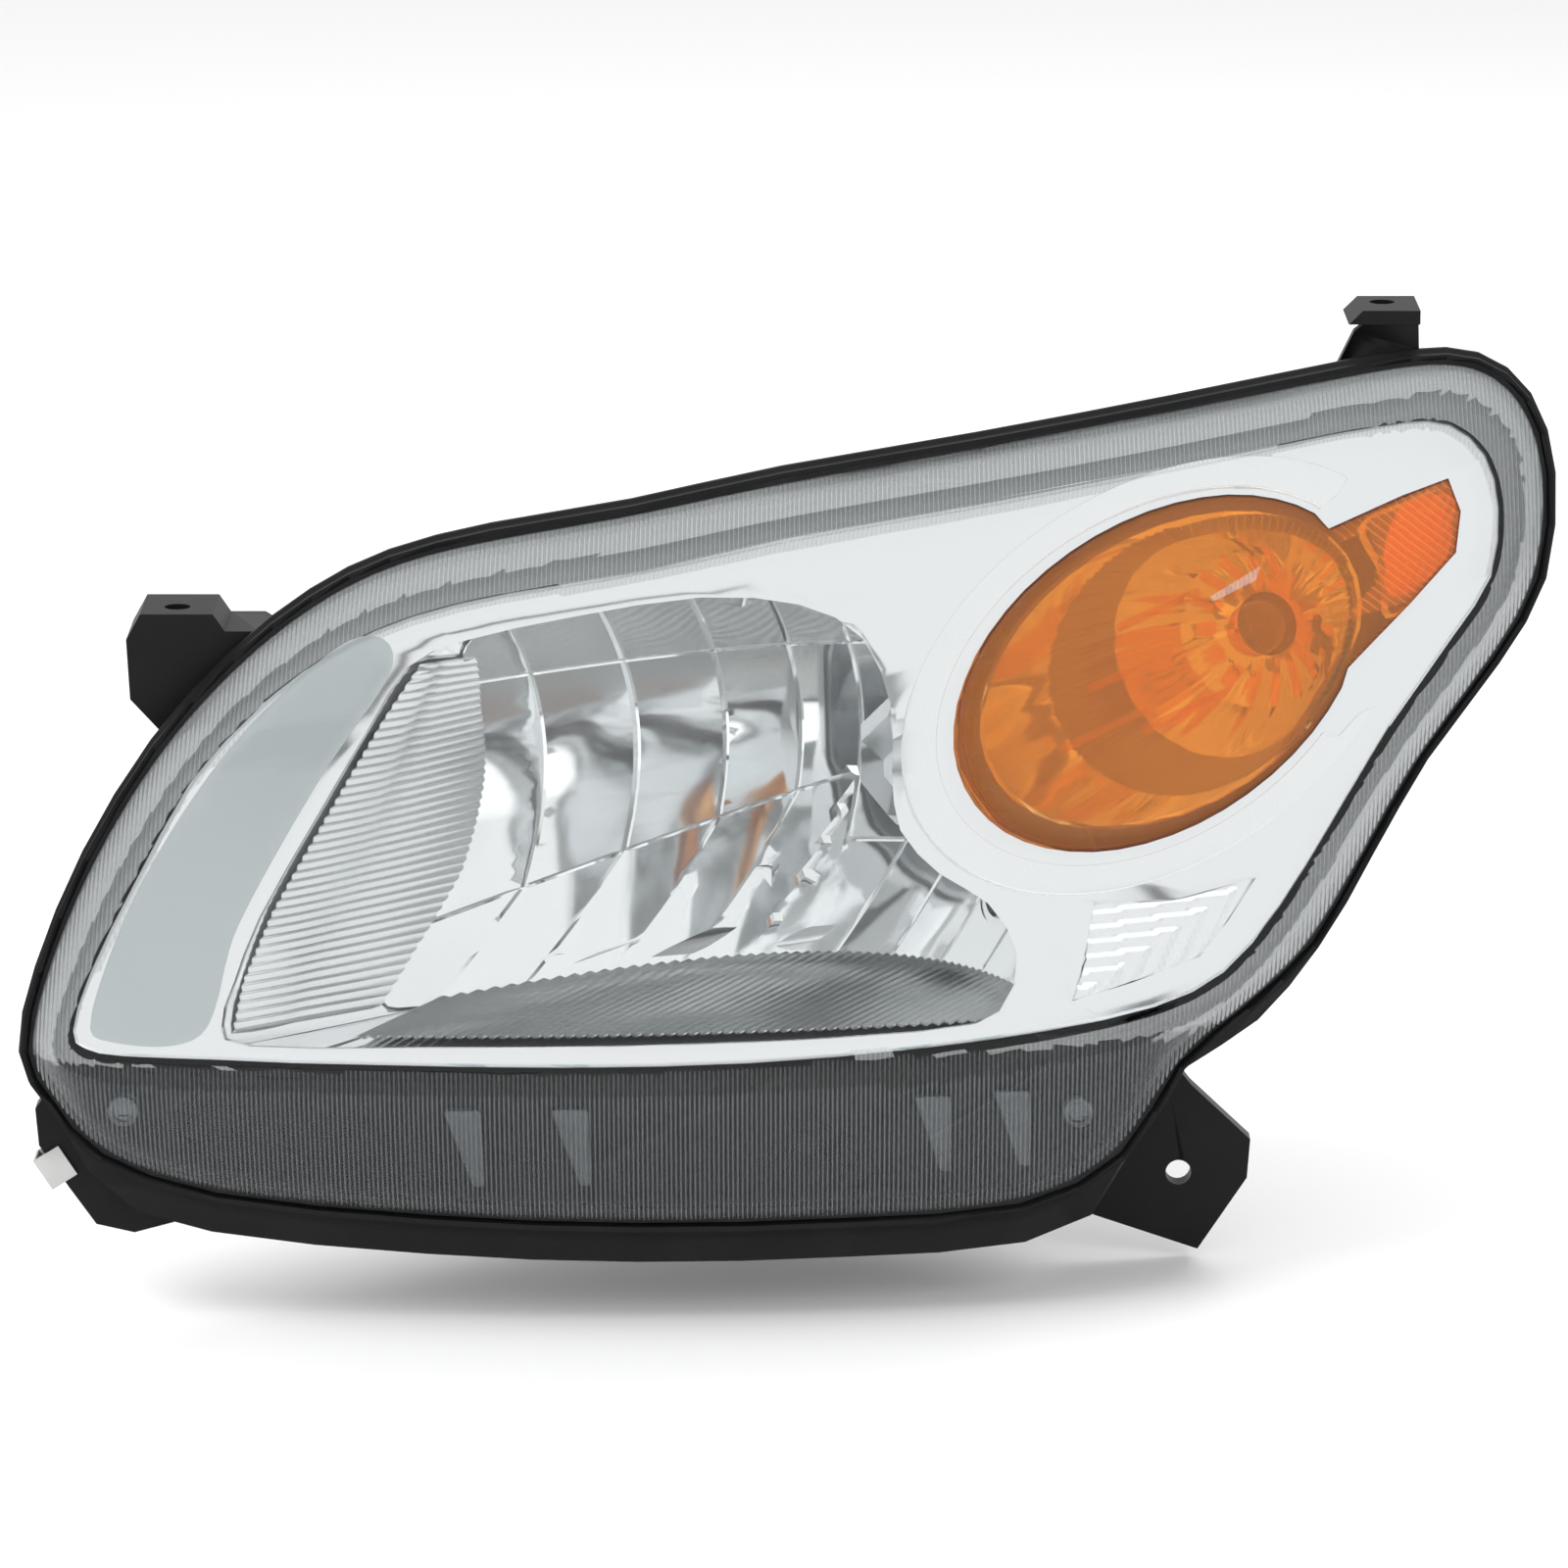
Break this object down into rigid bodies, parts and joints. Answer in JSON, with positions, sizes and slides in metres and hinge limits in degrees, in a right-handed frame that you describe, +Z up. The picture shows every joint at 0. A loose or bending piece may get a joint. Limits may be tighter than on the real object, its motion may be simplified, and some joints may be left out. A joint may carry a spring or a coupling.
{
  "type": "car headlight assembly",
  "caption": "Wrap-around car headlight: clear outer lens, faceted reflector with bulb shield, amber turn signal and side marker, black housing with brackets, bulbs and aiming screw.",
  "frame": {"origin": "top face of the inboard bracket's bolting pad, 12 mm behind its bolt hole", "axes": "+X outboard across the car, +Y rearward, +Z up; the beam leaves along -Y"},
  "size_m": [0.413, 0.4538, 0.3125],
  "materials": {
    "clear_lens": "clear hard-coated polycarbonate, polished, fine flutes on its inner skirt",
    "black_plastic": "black talc-filled polypropylene, satin, fine moulded grain",
    "chrome_reflector": "vacuum-metallised plastic, mirror bright",
    "silver_bezel": "vacuum-metallised plastic, satin silver with a grey painted field",
    "amber_plastic": "transparent amber acrylic, polished outside, optics inside",
    "fluted_panel": "pale metallised plastic with fine chevron flutes",
    "rubber": "black rubber, matt",
    "spring_steel": "bright zinc-plated steel",
    "bulb_glass": "clear bulb glass",
    "amber_bulb_glass": "amber-coated bulb glass",
    "white_nylon": "natural white nylon, satin",
    "grey_plastic": "dark grey glass-filled nylon, satin",
    "grey_shield": "pressed steel with grey metallic paint",
    "butyl_seal": "black butyl sealant"
  },
  "bodies": {
    "lamp_body": {"housing": "black_plastic", "outer_lens": "clear_lens", "lens_seal": "butyl_seal", "bezel": "silver_bezel", "fluted_panel": "fluted_panel", "amber_inner_lens": "amber_plastic", "turn_reflector": "chrome_reflector", "marker_reflector": "chrome_reflector", "turn_o_ring": "rubber", "marker_o_ring": "rubber", "pivot_stud_inboard": "white_nylon", "pivot_stud_outboard": "white_nylon", "vent_cap_lower": "rubber", "vent_cap_side": "rubber", "bracket_clip": "spring_steel", "boot": "rubber"},
    "reflector": {"main_reflector": "chrome_reflector", "bulb_shield": "grey_shield", "shield_screw": "spring_steel", "bulb_base": "spring_steel", "bulb_glass": "bulb_glass", "bulb_clip": "spring_steel", "ball_clip_inboard": "white_nylon", "ball_clip_outboard": "white_nylon", "ball_clip_aim": "white_nylon"},
    "position_lamp": {"position_bulb": "bulb_glass", "position_socket": "grey_plastic"},
    "turn_lamp": {"turn_bulb": "amber_bulb_glass", "turn_socket": "grey_plastic"},
    "marker_lamp": {"marker_bulb": "bulb_glass", "marker_socket": "grey_plastic"},
    "aim_screw_body": {"aim_screw": "white_nylon"},
    "aim_gear_body": {"aim_gear": "white_nylon"},
    "aim_driver_body": {"aim_driver": "white_nylon"}
  },
  "joints": [
    {"name": "reflector_aim", "type": "hinge", "parent": "lamp_body", "child": "reflector", "pos_m": [0.19599, 0.1537, 0.001], "axis": [1, 0, 0], "range_deg": [-1, 1]},
    {"name": "aim_screw_travel", "type": "slide", "parent": "lamp_body", "child": "aim_screw_body", "axis": [0, 1, 0], "range_m": [-0.002, 0.002]},
    {"name": "aim_gear_spin", "type": "hinge", "parent": "lamp_body", "child": "aim_gear_body", "pos_m": [0.16499, 0.1877, -0.107], "axis": [0, 1, 0], "range_deg": [-240, 240]},
    {"name": "aim_driver_spin", "type": "hinge", "parent": "lamp_body", "child": "aim_driver_body", "pos_m": [0.16499, 0.1962, -0.107], "axis": [0, 0, 1], "range_deg": [-360, 360]},
    {"name": "turn_socket_twist", "type": "hinge", "parent": "lamp_body", "child": "turn_lamp", "pos_m": [0.30899, 0.2507, -0.021], "axis": [0, -1, 0], "range_deg": [0, 45]},
    {"name": "marker_socket_twist", "type": "hinge", "parent": "lamp_body", "child": "marker_lamp", "pos_m": [0.34999, 0.3137, 0.011], "axis": [0, -1, 0], "range_deg": [0, 45]},
    {"name": "position_socket_twist", "type": "hinge", "parent": "reflector", "child": "position_lamp", "pos_m": [0.24999, 0.1577, -0.105], "axis": [0, -1, 0], "range_deg": [0, 45]}
  ],
  "couplings": [
    {"joint": "aim_screw_travel", "follows": "reflector_aim", "m_per_rad": 0.108},
    {"joint": "aim_gear_spin", "follows": "reflector_aim", "ratio": 226.19},
    {"joint": "aim_driver_spin", "follows": "reflector_aim", "ratio": 339.29}
  ]
}
